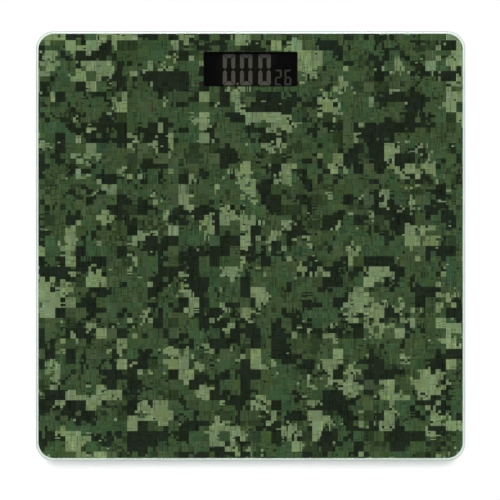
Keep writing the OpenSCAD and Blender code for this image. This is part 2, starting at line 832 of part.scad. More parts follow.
module foot_cap() {
  r = cap_r;
  inner = cap_r - foot_wall + 0.1;
  seat = pad_t - cap_low;
  floor_high = cap_low + seat + 1.2;
  rail = cell_side / 2 - 2;
  color([0.14, 0.14, 0.15]) difference() {
    union() {
      turned([
        [0, cap_low], [r - 1.2, cap_low], [r, cap_low + 1.2], [r, cap_high],
        [inner, cap_high], [inner, floor_high], [0, floor_high]
      ]);
      for (side = [-1, 1]) translate([0, side * rail, 0])
        block(cell_side - 6, 2.6, floor_high - eps, cell_low);
      catches(r - 0.4, foot_r - 0.4, catch_z + 0.05, catch_z + 1.6, 5.6);
    }
    rod(pad_r + 0.1, cap_low - 1, cap_low + seat);
    translate([r, 0, 0]) block(4 * foot_wall, duct_w, cell_low, cap_high + 1);
  }
}

// Rubber, with ring grooves in the face that stands on the floor
module foot_pad() {
  color([0.05, 0.05, 0.05]) difference() {
    turned([[0, 0], [pad_r - 0.6, 0], [pad_r, 0.6], [pad_r, pad_t], [0, pad_t]]);
    for (r = [pad_r * 0.42, pad_r * 0.62, pad_r * 0.82]) difference() {
      rod(r + 0.5, -1, 0.5);
      rod(r - 0.5, -2, 1);
    }
  }
}

// A stamped steel plate. Its frame rests on the cap, and its tongue reaches under the post of the base.
module load_cell() {
  slot = 1.6;
  rim = 3.4;
  inner = cell_side / 2 - rim;
  color([0.72, 0.73, 0.74]) {
    difference() {
      rounded_slab(cell_side, cell_side, 4.5, cell_low, cell_high);
      // The slot runs round the tongue on three sides
      for (side = [-1, 1]) translate([(tongue_tip + gauge_to) / 2, side * (tongue_w + slot) / 2, 0])
        block(gauge_to - tongue_tip, slot, cell_low - 1, cell_high + 1);
      translate([tongue_tip - slot / 2, 0, 0]) block(slot, tongue_w + 2 * slot, cell_low - 1, cell_high + 1);
      // Waist of the measuring beam
      for (side = [-1, 1]) translate([(gauge_from + gauge_to) / 2, side * tongue_w / 2, 0])
        rod(1.8, cell_low - 1, cell_high + 1);
      // Lightening hole behind the tongue
      translate([-inner + 1.4, 0, 0]) block(2.4, 12, cell_low - 1, cell_high + 1);
    }
    rod(2.2, cell_high - eps, cell_high + dome_h);
  }
}

// Silicone over the strain gauge
module strain_gauge() {
  color([0.93, 0.93, 0.91]) translate([(gauge_from + gauge_to) / 2, 0, 0]) intersection() {
    block(gauge_to - gauge_from, 6.4, cell_high, cell_high + gauge_h);
    translate([0, 0, cell_high - 5.4]) sphere(r = 7);
  }
}

module foot_tapes() {
  color([0.06, 0.06, 0.06]) for (x = [-1, 1], y = [-1, 1]) translate([x * foot_x, y * foot_y, 0])
    rod(foot_r - 1.2, mount_z, tape_top);
}

// ---------- nodes ----------

glass_plate();
camo_print();
backing_coat();
housing_tape();
housing_frame();
housing_cover();
cover_screws();
battery_door();
battery_front();
battery_rear();
battery_plates();
battery_springs();
battery_leads();
lcd_front_glass();
lcd_segments();
lcd_rear_glass();
backlight_panel();
reflector_film();
backlight_led();
zebra_strips();
circuit_board();
board_screws();
chip_blob();
quartz_crystal();
electrolytic_capacitors();
smd_resistors();
smd_capacitors();
temperature_sensor();
solder_joints();
unit_switch();
unit_switch_plunger();
unit_button();
cable_duct_left();
cable_duct_right();
duct_tapes();
wires_red();
wires_white();
wires_black();
foot_tapes();
at_foot(-1, -1) foot_base();  // foot_base_front_left
at_foot(1, -1) foot_base();  // foot_base_front_right
at_foot(-1, 1) foot_base();  // foot_base_rear_left
at_foot(1, 1) foot_base();  // foot_base_rear_right
at_foot(-1, -1) load_cell();  // load_cell_front_left
at_foot(1, -1) load_cell();  // load_cell_front_right
at_foot(-1, 1) load_cell();  // load_cell_rear_left
at_foot(1, 1) load_cell();  // load_cell_rear_right
at_foot(-1, -1) strain_gauge();  // strain_gauge_front_left
at_foot(1, -1) strain_gauge();  // strain_gauge_front_right
at_foot(-1, 1) strain_gauge();  // strain_gauge_rear_left
at_foot(1, 1) strain_gauge();  // strain_gauge_rear_right
at_foot(-1, -1) foot_cap();  // foot_cap_front_left
at_foot(1, -1) foot_cap();  // foot_cap_front_right
at_foot(-1, 1) foot_cap();  // foot_cap_rear_left
at_foot(1, 1) foot_cap();  // foot_cap_rear_right
at_foot(-1, -1) foot_pad();  // foot_pad_front_left
at_foot(1, -1) foot_pad();  // foot_pad_front_right
at_foot(-1, 1) foot_pad();  // foot_pad_rear_left
at_foot(1, 1) foot_pad();  // foot_pad_rear_right
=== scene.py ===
# Looks of a glass bathroom scale: a camouflage print and a dark display under a tempered plate,
# four weighing feet, and a black housing for the cells and the circuit board.
import math

import bmesh
import bpy
from mathutils import Matrix, Vector


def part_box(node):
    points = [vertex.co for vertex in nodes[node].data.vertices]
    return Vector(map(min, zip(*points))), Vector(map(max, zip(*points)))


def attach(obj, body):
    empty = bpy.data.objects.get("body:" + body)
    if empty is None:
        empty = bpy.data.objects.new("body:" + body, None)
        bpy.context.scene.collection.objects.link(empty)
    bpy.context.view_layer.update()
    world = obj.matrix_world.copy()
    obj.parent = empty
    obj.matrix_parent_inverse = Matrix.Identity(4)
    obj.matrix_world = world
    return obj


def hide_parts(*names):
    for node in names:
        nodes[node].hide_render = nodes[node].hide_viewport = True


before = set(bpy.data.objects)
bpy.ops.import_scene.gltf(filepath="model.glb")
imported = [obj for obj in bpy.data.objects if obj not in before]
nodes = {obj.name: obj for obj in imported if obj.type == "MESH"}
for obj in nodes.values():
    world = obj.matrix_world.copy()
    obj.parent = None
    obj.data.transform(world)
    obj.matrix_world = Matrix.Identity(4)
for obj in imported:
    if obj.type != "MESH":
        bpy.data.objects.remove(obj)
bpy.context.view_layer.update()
mm = 0.001
perMetre = 1000
corners = ("front_left", "front_right", "rear_left", "rear_right")
print("frame loaded:", len(nodes), "nodes")


def newMaterial(name):
    material = bpy.data.materials.new(name)
    material.use_nodes = True
    tree = material.node_tree
    tree.nodes.clear()
    return material, tree


def put(tree, kind, inputs=None, **settings):
    node = tree.nodes.new(kind)
    for key, value in settings.items():
        setattr(node, key, value)
    for key, value in (inputs or {}).items():
        if isinstance(value, bpy.types.NodeSocket):
            tree.links.new(value, node.inputs[key])
        else:
            node.inputs[key].default_value = value
    return node


def calc(tree, operation, a, b=0.0, c=0.0):
    return put(tree, "ShaderNodeMath", {0: a, 1: b, 2: c}, operation=operation).outputs[0]


def vectorCalc(tree, operation, a, b=(0, 0, 0)):
    return put(tree, "ShaderNodeVectorMath", {0: a, 1: b}, operation=operation).outputs[0]


def objectPlace(tree, stretch=(1, 1, 1), turn=(0, 0, 0)):
    # Object coordinates in millimetres, stretched or turned for a grain with a direction
    place = put(tree, "ShaderNodeTexCoord").outputs["Object"]
    scale = tuple(perMetre * s for s in stretch)
    return put(tree, "ShaderNodeMapping", {"Vector": place, "Scale": scale, "Rotation": turn}).outputs[0]


def noise(tree, place, size, detail=2.0, roughness=0.5):
    # size is the width of one patch in millimetres
    return put(tree, "ShaderNodeTexNoise", {"Vector": place, "Scale": 1 / size, "Detail": detail,
                                            "Roughness": roughness}).outputs[0]


def spread(tree, value, fromLow, fromHigh, toLow=0, toHigh=1):
    ends = {0: value, 1: fromLow, 2: fromHigh, 3: toLow, 4: toHigh}
    return put(tree, "ShaderNodeMapRange", ends).outputs[0]


def uneven(tree, value, low, high):
    # Noise keeps mostly to its middle part, which this stretches from low to high
    return spread(tree, value, 0.3, 0.7, low, high)


def blendColour(tree, factor, a, b):
    node = put(tree, "ShaderNodeMix", data_type="RGBA", blend_type="MIX")
    for key, value in ((0, factor), (6, a), (7, b)):
        if isinstance(value, bpy.types.NodeSocket):
            tree.links.new(value, node.inputs[key])
        else:
            node.inputs[key].default_value = value if key == 0 else (*value, 1)
    return node.outputs[2]


def blendTint(tree, a, b):
    node = put(tree, "ShaderNodeMix", {0: 1.0, 6: a, 7: b}, data_type="RGBA", blend_type="MULTIPLY")
    return node.outputs[2]


def splitPlace(tree, place):
    return put(tree, "ShaderNodeSeparateXYZ", {0: place}).outputs


def paintColour(red, green, blue):
    # From 0-255 values to the linear ones that the shaders take
    def one(v):
        v = v / 255
        return v / 12.92 if v <= 0.04045 else ((v + 0.055) / 1.055) ** 2.4
    return one(red), one(green), one(blue)


def blendPaint(tree, factor, first, second):
    return blendColour(tree, factor, paintColour(*first), paintColour(*second))


def shaded(tree, colour, roughness, bump=None, **sockets):
    # The common finish of a surface: a Principled shader, its bump, and its output
    shader = put(tree, "ShaderNodeBsdfPrincipled", {"Roughness": roughness})
    for name, value in sockets.items():
        shader.inputs[name.replace("_", " ")].default_value = value
    if isinstance(colour, bpy.types.NodeSocket):
        tree.links.new(colour, shader.inputs["Base Color"])
    else:
        shader.inputs["Base Color"].default_value = (*colour, 1)
    if bump:
        height, depth = bump
        relief = put(tree, "ShaderNodeBump", {"Height": height, "Distance": depth, "Strength": 1.0})
        tree.links.new(relief.outputs[0], shader.inputs["Normal"])
    put(tree, "ShaderNodeOutputMaterial", {"Surface": shader.outputs[0]})
    return shader


def clearToShadows(tree, surface, tint):
    # Glass casts a pale shadow in its tint, as light passes straight through it
    clear = put(tree, "ShaderNodeBsdfTransparent", {"Color": (*tint, 1)})
    shadowRay = put(tree, "ShaderNodeLightPath").outputs["Is Shadow Ray"]
    mixed = put(tree, "ShaderNodeMixShader", {0: shadowRay, 1: surface, 2: clear.outputs[0]})
    put(tree, "ShaderNodeOutputMaterial", {"Surface": mixed.outputs[0]})


def dress(material, *names):
    # Gives a CAD node its finish, in every slot that it has
    for name in names:
        slots = nodes[name].data.materials
        if not len(slots):
            slots.append(material)
        for i in range(len(slots)):
            slots[i] = material


def addPiece(name, bm, material, body, replaced, sharpAngle=32):
    # Merged faces get one smooth skin, with a crease where two meet at a sharp angle
    limit = math.radians(sharpAngle)
    for face in bm.faces:
        face.smooth = True
    for edge in bm.edges:
        edge.smooth = len(edge.link_faces) == 2 and edge.calc_face_angle(0) < limit
    mesh = bpy.data.meshes.new(name)
    bm.to_mesh(mesh)
    bm.free()
    piece = bpy.data.objects.new(name, mesh)
    bpy.context.scene.collection.objects.link(piece)
    mesh.materials.append(material)
    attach(piece, body)
    if replaced:
        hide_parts(*replaced)
    return piece


def roundedSheet(bm, centre, width, depth, radius, height, segments):
    # A flat rounded rectangle: one face, whose corners are bevelled
    made = bmesh.ops.create_grid(bm, x_segments=1, y_segments=1, size=0.5)
    bmesh.ops.scale(bm, verts=made["verts"], vec=(width, depth, 1))
    bmesh.ops.translate(bm, verts=made["verts"], vec=(centre[0], centre[1], height))
    bmesh.ops.bevel(bm, geom=made["verts"], offset=radius, segments=segments, affect="VERTICES",
                    profile=0.5, material=-1)


def softCopy(node, rounding, sharpAngle=32):
    # A merged copy of a CAD node, whose sharp edges are rounded as a mould leaves them
    bm = bmesh.new()
    bm.from_mesh(nodes[node].data)
    bmesh.ops.remove_doubles(bm, verts=bm.verts, dist=2e-6)
    bmesh.ops.dissolve_limit(bm, angle_limit=math.radians(1.5), verts=bm.verts, edges=bm.edges)
    limit = math.radians(sharpAngle)
    sharp = [e for e in bm.edges if len(e.link_faces) == 2 and e.calc_face_angle(0) > limit]
    bmesh.ops.bevel(bm, geom=sharp, offset=rounding, segments=3, affect="EDGES", profile=0.5,
                    material=-1, clamp_overlap=True)
    return bm


plate = {
    "cornerRadius": 12.5 * mm, "edgeRadius": 1.4 * mm, "cornerSegments": 20, "edgeSegments": 6,
    "tint": (0.945, 0.982, 0.958), "bend": 1.52,
    "wallTint": (0.66, 0.86, 0.77), "rimTint": (0.92, 0.975, 0.945),
    "wallSlope": (0.15, 0.70),                    # upright part of the normal, from the wall to its rounding
    "rimPatches": ((0.95, 0.98, 0.96), (1.0, 1.0, 1.0)),
    "rimRoughness": (0.34, 0.42), "rimSatin": 0.84, "rimRelief": 0.004 * mm,
    "polishedFrom": 0.97,                         # faces this level are polished, and the others ground
}


def plateGlass():
    material, tree = newMaterial("plateGlass")
    glass = put(tree, "ShaderNodeBsdfGlass", {"Color": (*plate["tint"], 1), "Roughness": 0.0,
                                              "IOR": plate["bend"]})
    clearToShadows(tree, glass.outputs[0], plate["tint"])
    return material


def groundRim():
    # The rim is ground satin. Its upright wall shows the green of the glass's depth, its rounded edges less.
    material, tree = newMaterial("groundRim")
    marks = noise(tree, objectPlace(tree, (0.2, 0.2, 1)), 0.3, 3.0, 0.6)
    patches = noise(tree, objectPlace(tree), 14.0, 2.0, 0.5)
    normal = splitPlace(tree, put(tree, "ShaderNodeNewGeometry").outputs["Normal"])
    slope = spread(tree, calc(tree, "ABSOLUTE", normal[2]), *plate["wallSlope"])
    tint = blendColour(tree, slope, plate["wallTint"], plate["rimTint"])
    tint = blendTint(tree, tint, blendColour(tree, spread(tree, patches, 0.35, 0.65), *plate["rimPatches"]))
    roughness = uneven(tree, patches, *plate["rimRoughness"])
    glass = put(tree, "ShaderNodeBsdfGlass", {"Color": (*plate["tint"], 1), "IOR": plate["bend"],
                                              "Roughness": roughness})
    satin = put(tree, "ShaderNodeBsdfTranslucent", {"Color": tint})
    pale = put(tree, "ShaderNodeBsdfDiffuse", {"Color": tint})
    frost = put(tree, "ShaderNodeMixShader", {0: 0.5, 1: satin.outputs[0], 2: pale.outputs[0]})
    relief = put(tree, "ShaderNodeBump", {"Height": marks, "Distance": plate["rimRelief"]})
    for shader in (glass, satin, pale):
        tree.links.new(relief.outputs[0], shader.inputs["Normal"])
    body = put(tree, "ShaderNodeMixShader", {0: plate["rimSatin"], 1: glass.outputs[0], 2: frost.outputs[0]})
    clearToShadows(tree, body.outputs[0], plate["rimTint"])
    return material


def buildPlate():
    low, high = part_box("glass_plate")
    size, middle = high - low, (high + low) / 2
    bm = bmesh.new()
    bmesh.ops.create_cube(bm, size=1, matrix=Matrix.Translation(middle) @ Matrix.Diagonal((*size, 1)))
    upright = [e for e in bm.edges if abs(e.verts[0].co.z - e.verts[1].co.z) > size.z / 2]
    bmesh.ops.bevel(bm, geom=upright, offset=plate["cornerRadius"], segments=plate["cornerSegments"],
                    affect="EDGES", profile=0.5, material=-1)
    rim = [e for e in bm.edges if abs(e.verts[0].co.z - e.verts[1].co.z) < size.z / 2
           and abs(e.calc_face_angle(0) - math.pi / 2) < 0.1]
    bmesh.ops.bevel(bm, geom=rim, offset=plate["edgeRadius"], segments=plate["edgeSegments"],
                    affect="EDGES", profile=0.5, material=-1)
    bmesh.ops.recalc_face_normals(bm, faces=bm.faces)
    for face in bm.faces:
        face.material_index = int(abs(face.normal.z) < plate["polishedFrom"])
    glass = addPiece("glassPlatform", bm, plateGlass(), "platform", ["glass_plate"], 40)
    glass.data.materials.append(groundRim())


camo = {
    "cell": 3.6,                                  # side of a usual square of the print
    "deep": 50,                                   # a square's cell reaches past the ink, up and down
    "charcoal": paintColour(32, 38, 29),
    "deepGreen": paintColour(46, 58, 38),
    "olive": paintColour(68, 80, 54),
    "green": paintColour(61, 76, 48),
    "blueGreen": paintColour(58, 78, 52),
    "light": paintColour(115, 129, 95),
    "speck": paintColour(124, 138, 104),
    # chance past which a square is cut up, and its new width and depth in cells
    "cuts": ((0.50, 1 / 2, 1 / 2), (0.78, 1 / 2, 1), (0.86, 1, 1 / 2), (0.93, 1 / 4, 1), (0.965, 1, 1 / 4)),
    "broadShare": 0.30,                           # share of the print in squares of two cells
    "greens": ((0.39, "olive"), (0.45, "green"), (0.55, "blueGreen")),  # noise past which each takes over
    # patches: shift in the noise, width, detail, and jitter from square to square
    "tonePatches": (210.0, 22.0, 2.0, 0.22),
    "darkPatches": (-330.0, 19.0, 3.0, 0.14),
    "lightPatches": (77.0, 21.0, 3.0, 0.14),
    "lightFrom": 0.582, "darkFrom": 0.531,        # where the patches start, in the noise
    "lightSpecks": 0.999, "darkSpecks": 0.004,    # chances past and below which a speck stands alone
    "toneShift": (0.85, 1.17),
    # slivers: width and depth in cells, and seed
    "slivers": ((1 / 5, 1, 23.0), (1, 1 / 5, 37.0), (1 / 4, 2, 71.0)),
    "darkSliver": (0.94, 0.68), "lightSliver": (0.03, 1.28),  # chance, and strength
    "threads": (0.93, 1.07),
    "mottling": (0.18, 0.08),                     # unevenness of the dark inks and of the light one
    "redShift": (0.93, 1.07), "blueShift": (0.80, 1.16),  # how far the ink's hue wanders
    "roughness": (0.42, 0.55), "relief": 0.01 * mm,
}


def camoInk():
    # Squares of several sizes share one grid. Each takes its colour from patches of noise at its own middle.
    material, tree = newMaterial("camoInk")
    place = objectPlace(tree)
    cell, deep = camo["cell"], camo["deep"]

    def chance(where):
        white = put(tree, "ShaderNodeTexWhiteNoise", {"Vector": where}, noise_dimensions="3D")
        return white.outputs["Value"]

    def pick(seed, width, depth):
        moved = vectorCalc(tree, "SNAP", place, (width, depth, deep))
        return chance(vectorCalc(tree, "ADD", moved, (seed, 0.37 * seed, seed)))

    def choose(factor, a, b):
        ends = {"Factor": factor, 4: a, 5: b}
        return put(tree, "ShaderNodeMix", ends, data_type="VECTOR").outputs[1]

    def patches(shift, width, detail, jitter):
        moved = vectorCalc(tree, "ADD", square, (shift, -shift, 0.3 * shift))
        own = calc(tree, "MULTIPLY", calc(tree, "SUBTRACT", chance(moved), 0.5), jitter)
        return calc(tree, "ADD", noise(tree, moved, width, detail, 0.62), own)

    fine = pick(11.0, cell, cell)
    size = (cell, cell, deep)
    for limit, width, depth in camo["cuts"]:
        size = choose(calc(tree, "GREATER_THAN", fine, limit), size, (width * cell, depth * cell, deep))
    broad = calc(tree, "LESS_THAN", pick(5.0, 2 * cell, 2 * cell), camo["broadShare"])
    size = choose(broad, size, (2 * cell, 2 * cell, deep))
    half = put(tree, "ShaderNodeVectorMath", {0: size, "Scale": 0.5}, operation="SCALE").outputs[0]
    square = vectorCalc(tree, "ADD", vectorCalc(tree, "SNAP", place, size), half)

    tone = patches(*camo["tonePatches"])
    colour = camo["deepGreen"]
    for limit, green in camo["greens"]:
        colour = blendColour(tree, calc(tree, "GREATER_THAN", tone, limit), colour, camo[green])
    dark = calc(tree, "GREATER_THAN", patches(*camo["darkPatches"]), camo["darkFrom"])
    colour = blendColour(tree, dark, colour, camo["charcoal"])
    light = calc(tree, "GREATER_THAN", patches(*camo["lightPatches"]), camo["lightFrom"])
    colour = blendColour(tree, light, colour, camo["light"])
    speck = pick(61.0, cell / 2, cell / 4)
    colour = blendColour(tree, calc(tree, "GREATER_THAN", speck, camo["lightSpecks"]), colour, camo["speck"])
    colour = blendColour(tree, calc(tree, "LESS_THAN", speck, camo["darkSpecks"]), colour, camo["charcoal"])

    # Small shifts of tone from square to square, and thin slivers along both ways of the grid
    tones = spread(tree, chance(vectorCalc(tree, "ADD", square, (9, 4, 2))), 0, 1, *camo["toneShift"])
    for width, depth, seed in camo["slivers"]:
        sliver = pick(seed, width * cell, depth * cell)
        for operation, (limit, weight) in (("GREATER_THAN", camo["darkSliver"]),
                                           ("LESS_THAN", camo["lightSliver"])):
            strip = spread(tree, calc(tree, operation, sliver, limit), 0, 1, 1, weight)
            tones = calc(tree, "MULTIPLY", tones, strip)

    # Threads of the printing screen, both ways across the squares
    acrossThreads = noise(tree, objectPlace(tree, (0.03, 1, 1)), 0.55, 1.0)
    alongThreads = noise(tree, objectPlace(tree, (1, 0.03, 1)), 0.55, 1.0)
    threads = spread(tree, calc(tree, "ADD", acrossThreads, alongThreads), 0.7, 1.3, *camo["threads"])
    mottled = noise(tree, place, 1.0, 3.0, 0.6)
    amount = spread(tree, light, 0, 1, *camo["mottling"])
    mottling = calc(tree, "MULTIPLY", uneven(tree, mottled, -1, 1), amount)
    strength = calc(tree, "MULTIPLY", threads, calc(tree, "ADD", mottling, 1.0))
    strength = calc(tree, "MULTIPLY", strength, tones)
    warmth = noise(tree, vectorCalc(tree, "ADD", square, (31, 17, 5)), 7.0, 3.0, 0.8)
    red = calc(tree, "MULTIPLY", strength, spread(tree, warmth, 0.32, 0.68, *camo["redShift"]))
    bloom = noise(tree, vectorCalc(tree, "ADD", square, (-13, 47, 9)), 6.0, 3.0, 0.8)
    blue = calc(tree, "MULTIPLY", strength, spread(tree, bloom, 0.32, 0.68, *camo["blueShift"]))
    hue = put(tree, "ShaderNodeCombineColor", {0: red, 1: strength, 2: blue}).outputs[0]
    roughness = uneven(tree, mottled, *camo["roughness"])
    shaded(tree, blendTint(tree, colour, hue), roughness, (mottled, camo["relief"]), Specular_IOR_Level=0.0)
    return material


sheet = {"cornerRadius": 11 * mm, "thickness": 0.12 * mm, "rise": 0.02 * mm,
         "window": (66 * mm, 24.4 * mm), "windowRadius": 1.5 * mm,
         "cornerSegments": 16, "windowSegments": 6}


def buildPrint():
    # An outline and a window, filled between, then given the ink's thickness
    low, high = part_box("camo_print")
    size = high - low
    top = high.z + sheet["rise"]
    bm = bmesh.new()
    windowLow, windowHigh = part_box("lcd_front_glass")
    windowMiddle = (windowLow + windowHigh) / 2
    roundedSheet(bm, (0, 0), size.x, size.y, sheet["cornerRadius"], top, sheet["cornerSegments"])
    roundedSheet(bm, windowMiddle, *sheet["window"], sheet["windowRadius"], top, sheet["windowSegments"])
    bmesh.ops.delete(bm, geom=list(bm.faces), context="FACES_ONLY")
    bmesh.ops.triangle_fill(bm, edges=list(bm.edges), use_beauty=True, use_dissolve=False)
    grown = bmesh.ops.extrude_face_region(bm, geom=list(bm.faces))
    lower = [v for v in grown["geom"] if isinstance(v, bmesh.types.BMVert)]
    bmesh.ops.translate(bm, verts=lower, vec=(0, 0, -sheet["thickness"]))
    bmesh.ops.recalc_face_normals(bm, faces=bm.faces)
    addPiece("camoPrint", bm, camoInk(), "platform", ["camo_print"])


def lacquerWhite():
    material, tree = newMaterial("lacquerWhite")
    place = objectPlace(tree)
    speckle = noise(tree, place, 0.8, 4.0, 0.7)
    stains = noise(tree, place, 40.0, 3.0, 0.6)
    colour = blendPaint(tree, spread(tree, stains, 0.4, 0.7), (214, 216, 214), (198, 200, 196))
    shaded(tree, colour, uneven(tree, speckle, 0.38, 0.55), (speckle, 0.02 * mm))
    return material


plastic = {
    "frameBlack": {"colour": (4, 4, 4), "worn": (8, 8, 8), "roughness": (0.60, 0.72), "grain": 0.45,
                   "gloss": 0.03},
    "housingBlack": {"colour": (26, 26, 27), "worn": (44, 44, 45), "roughness": (0.44, 0.60), "grain": 0.45,
                     "gloss": 0.45},
    "doorBlack": {"colour": (29, 29, 30), "worn": (50, 50, 51), "roughness": (0.40, 0.58), "grain": 0.40,
                  "gloss": 0.45},
    "footBlack": {"colour": (27, 27, 28), "worn": (47, 47, 48), "roughness": (0.42, 0.58), "grain": 0.45,
                  "gloss": 0.45},
    "buttonGrey": {"colour": (74, 75, 77), "worn": (92, 93, 95), "roughness": (0.36, 0.50), "grain": 0.30,
                   "gloss": 0.45},
}


def mouldedPlastic(name):
    choice = plastic[name]
    material, tree = newMaterial(name)
    place = objectPlace(tree)
    # Spark-eroded grain of the mould, over soft marks from handling
    cells = {"Vector": place, "Scale": 1 / choice["grain"], "Randomness": 1.0}
    pits = put(tree, "ShaderNodeTexVoronoi", cells, feature="SMOOTH_F1").outputs["Distance"]
    grain = noise(tree, place, choice["grain"] * 0.8, 3.0, 0.6)
    marks = noise(tree, place, 14.0, 4.0, 0.65)
    dust = noise(tree, place, 1.6, 5.0, 0.75)
    scuffs = noise(tree, objectPlace(tree, (1, 0.06, 1), (0, 0, 0.5)), 1.1, 2.0, 0.5)
    wear = calc(tree, "MULTIPLY", spread(tree, scuffs, 0.60, 0.74), spread(tree, marks, 0.45, 0.65))
    dusty = spread(tree, dust, 0.48, 0.75, 0, 0.5)
    haze = calc(tree, "MULTIPLY", dusty, spread(tree, marks, 0.35, 0.7, 0.2, 1))
    colour = blendPaint(tree, calc(tree, "MAXIMUM", wear, haze), choice["colour"], choice["worn"])
    low, high = choice["roughness"]
    roughness = calc(tree, "ADD", uneven(tree, marks, low, high), calc(tree, "MULTIPLY", grain, 0.08))
    relief = calc(tree, "ADD", pits, calc(tree, "MULTIPLY", grain, 0.7))
    shaded(tree, colour, roughness, (relief, 0.035 * mm), Specular_IOR_Level=choice["gloss"])
    return material


rounding = {"cover": 0.25 * mm, "duct": 0.25 * mm, "door": 0.2 * mm, "button": 0.15 * mm,
            "foot": 0.25 * mm, "pad": 0.15 * mm}


def addSoftPiece(name, node, radius, material, body):
    return addPiece(name, softCopy(node, radius), material, body, [node])


def buildHousing():
    black = mouldedPlastic("housingBlack")
    dress(mouldedPlastic("frameBlack"), "housing_frame")
    addSoftPiece("housingCover", "housing_cover", rounding["cover"], black, "platform")
    for side in ("left", "right"):
        addSoftPiece("cableDuct_" + side, "cable_duct_" + side, rounding["duct"], black, "platform")
    addSoftPiece("batteryDoor", "battery_door", rounding["door"], mouldedPlastic("doorBlack"),
                 "battery_door")
    addSoftPiece("unitButton", "unit_button", rounding["button"], mouldedPlastic("buttonGrey"),
                 "unit_button")
    print("housing, ducts, door and button built")


rubber = {"colour": (22, 22, 23), "dusty": (58, 57, 55), "roughness": (0.62, 0.85)}


def padRubber():
    material, tree = newMaterial("padRubber")
    place = objectPlace(tree)
    speckle = noise(tree, place, 0.35, 4.0, 0.7)
    dust = noise(tree, place, 5.0, 5.0, 0.7)
    colour = blendPaint(tree, spread(tree, dust, 0.5, 0.8, 0, 0.6), rubber["colour"], rubber["dusty"])
    low, high = rubber["roughness"]
    shaded(tree, colour, uneven(tree, dust, low, high), (speckle, 0.05 * mm))
    return material


def buildFeet():
    black, pad = mouldedPlastic("footBlack"), padRubber()
    steel, silicone = stampedSteel(), gaugeSilicone()
    for corner in corners:
        addSoftPiece("footBase_" + corner, "foot_base_" + corner, rounding["foot"], black, "platform")
        addSoftPiece("footCap_" + corner, "foot_cap_" + corner, rounding["foot"], black, "foot_" + corner)
        addSoftPiece("footPad_" + corner, "foot_pad_" + corner, rounding["pad"], pad, "foot_" + corner)
        dress(steel, "load_cell_" + corner)
        dress(silicone, "strain_gauge_" + corner)
    print("feet built")


def stampedSteel():
    material, tree = newMaterial("stampedSteel")
    rolled = noise(tree, objectPlace(tree, (1, 0.04, 1)), 0.18, 3.0, 0.6)
    tarnish = noise(tree, objectPlace(tree), 7.0, 4.0, 0.6)
    colour = blendPaint(tree, spread(tree, tarnish, 0.35, 0.7), (196, 198, 201), (168, 168, 166))
    roughness = calc(tree, "ADD", uneven(tree, rolled, 0.24, 0.40), spread(tree, tarnish, 0.4, 0.7, 0, 0.12))
    shaded(tree, colour, roughness, (rolled, 0.006 * mm), Metallic=1.0, Anisotropic=0.4)
    return material


def gaugeSilicone():
    material, tree = newMaterial("gaugeSilicone")
    lumps = noise(tree, objectPlace(tree), 1.2, 3.0, 0.55)
    colour = blendPaint(tree, uneven(tree, lumps, 0, 1), (236, 236, 232), (222, 221, 214))
    shaded(tree, colour, uneven(tree, lumps, 0.35, 0.5), (lumps, 0.12 * mm), Subsurface_Weight=0.0)
    return material


display = {
    "glass": (0.86, 0.84, 0.87), "bend": 1.5,
    "bottom": (120, 110, 92), "middle": (103, 98, 80), "top": (79, 76, 73),
    "middleBelow": 9, "topFrom": 5, "topBelow": 1,  # distances down from the digits' top, in millimetres
    "smallFrom": (15.0, 17.0), "small": 0.42,       # across, where the dimmer small pair starts
    "rear": (6, 6, 6), "glow": (23, 22, 16), "glowSide": (11, 8, 8),
    "glowLeft": (5, 3), "glowRight": (16, 10),      # distances around the digits' ends
}


def displayGlass():
    material, tree = newMaterial("displayGlass")
    glass = put(tree, "ShaderNodeBsdfGlass", {"Color": (*display["glass"], 1), "Roughness": 0.0,
                                              "IOR": display["bend"]})
    clearToShadows(tree, glass.outputs[0], display["glass"])
    return material


def greyTint(tree, colour, strength):
    grey = put(tree, "ShaderNodeCombineColor", {0: strength, 1: strength, 2: strength}).outputs[0]
    return blendTint(tree, colour, grey)


def segmentCrystal():
    # Warmer and brighter at the bottom of the digits, cooler at their top, dim on the small pair
    material, tree = newMaterial("segmentCrystal")
    place = objectPlace(tree)
    across, up, _ = splitPlace(tree, place)
    bottom, top = (perMetre * corner.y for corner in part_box("lcd_segments"))
    rise = spread(tree, up, bottom, top - display["middleBelow"])
    colour = blendPaint(tree, rise, display["bottom"], display["middle"])
    upper = spread(tree, up, top - display["topFrom"], top - display["topBelow"])
    colour = blendColour(tree, upper, colour, paintColour(*display["top"]))
    dim = spread(tree, across, *display["smallFrom"], 1.0, display["small"])
    cloud = uneven(tree, noise(tree, place, 3.0, 3.0, 0.6), 0.90, 1.10)
    shaded(tree, greyTint(tree, colour, calc(tree, "MULTIPLY", dim, cloud)), 0.5)
    return material


def darkCell():
    # The rear glass, with a faint glow behind the digits and the bloom of its polariser
    material, tree = newMaterial("darkCell")
    place = objectPlace(tree)
    across = splitPlace(tree, place)[0]
    left, right = (perMetre * corner.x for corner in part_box("lcd_segments"))
    bloom = noise(tree, place, 9.0, 3.0, 0.6)
    before, after = display["glowLeft"]
    colour = blendPaint(tree, spread(tree, across, left - before, left + after), display["rear"],
                        display["glow"])
    far, near = display["glowRight"]
    colour = blendColour(tree, spread(tree, across, right - far, right - near), colour,
                         paintColour(*display["glowSide"]))
    colour = greyTint(tree, colour, uneven(tree, bloom, 0.75, 1.25))
    shaded(tree, colour, uneven(tree, bloom, 0.26, 0.34), Specular_IOR_Level=0.0)
    return material


